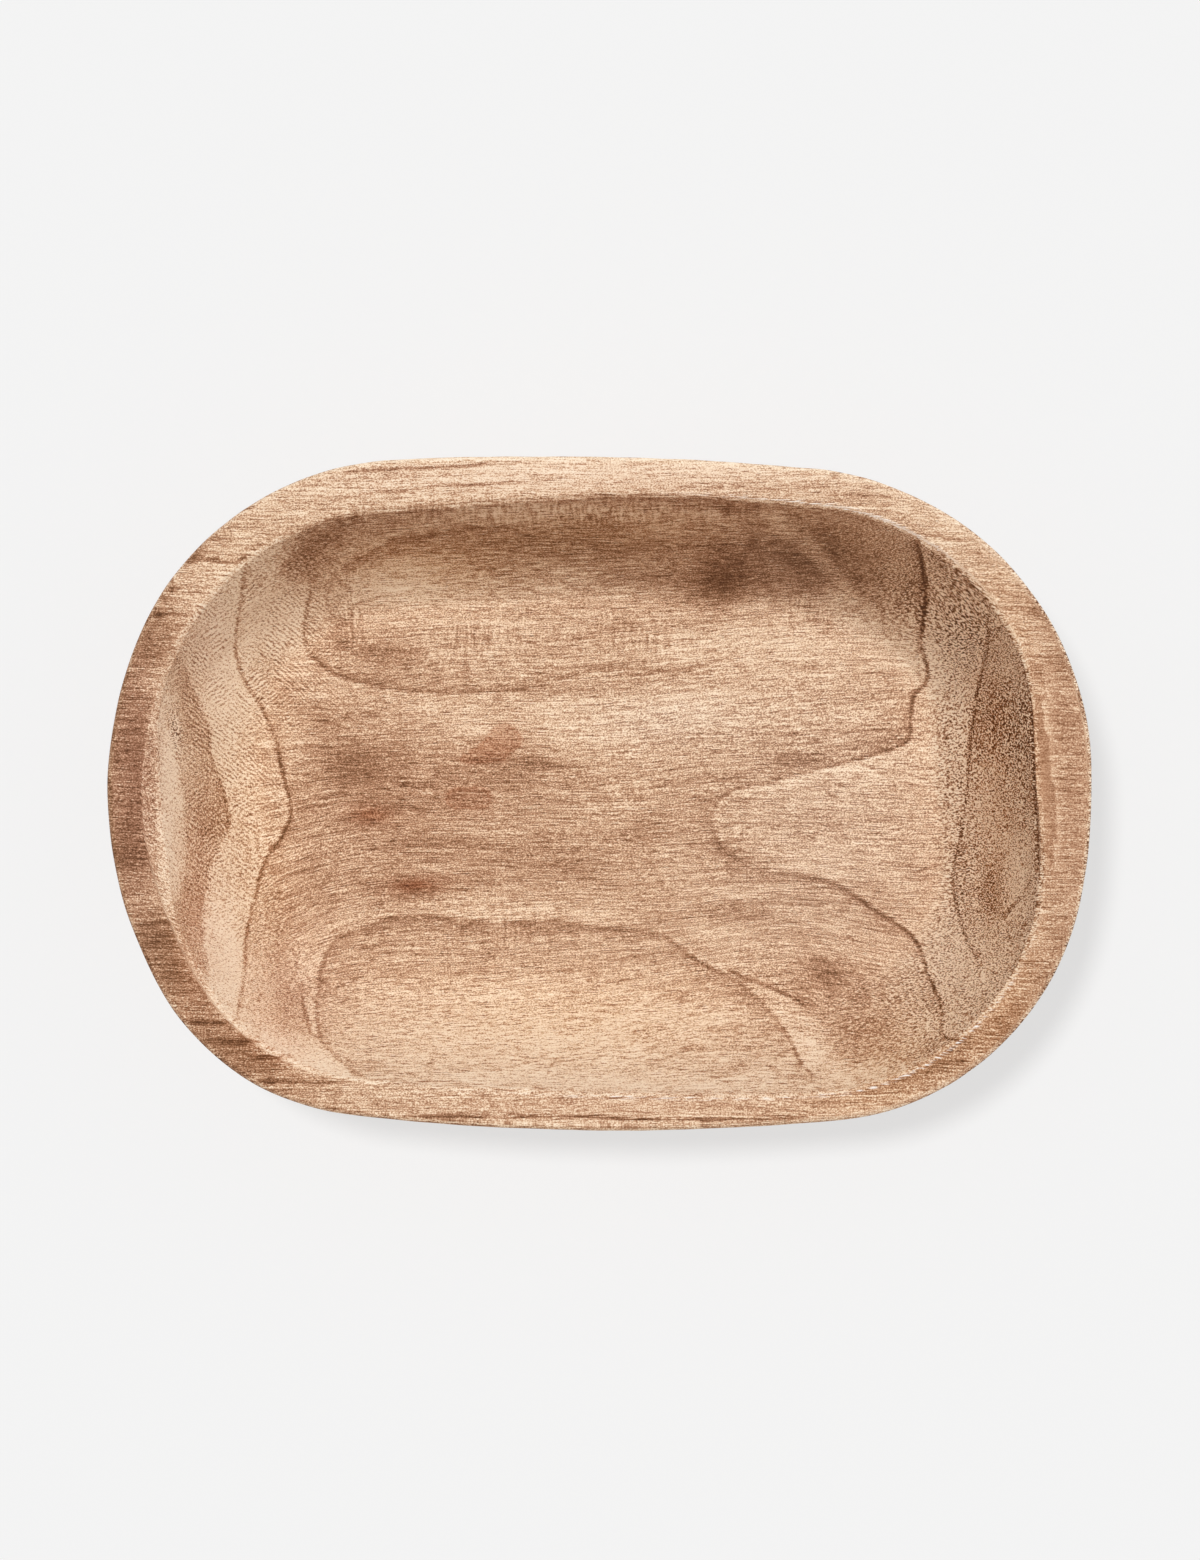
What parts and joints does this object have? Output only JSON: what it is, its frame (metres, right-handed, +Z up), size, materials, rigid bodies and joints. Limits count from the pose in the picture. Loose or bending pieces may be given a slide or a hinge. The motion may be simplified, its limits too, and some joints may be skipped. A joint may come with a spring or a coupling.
{
  "type": "dinner bowl",
  "caption": "Oblong dinner bowl carved from one block of pale open-grained wood, with a wide flat rim, steep hollow walls and a flat base.",
  "frame": {"origin": "on the table, under the middle of the rim", "axes": "+X along the bowl's length, +Y across its width, +Z up"},
  "size_m": [0.365, 0.25, 0.07],
  "materials": {
    "pale_wood": "bare matt, hand carved"
  },
  "bodies": {
    "root": {"bowl": "pale_wood"}
  },
  "joints": []
}
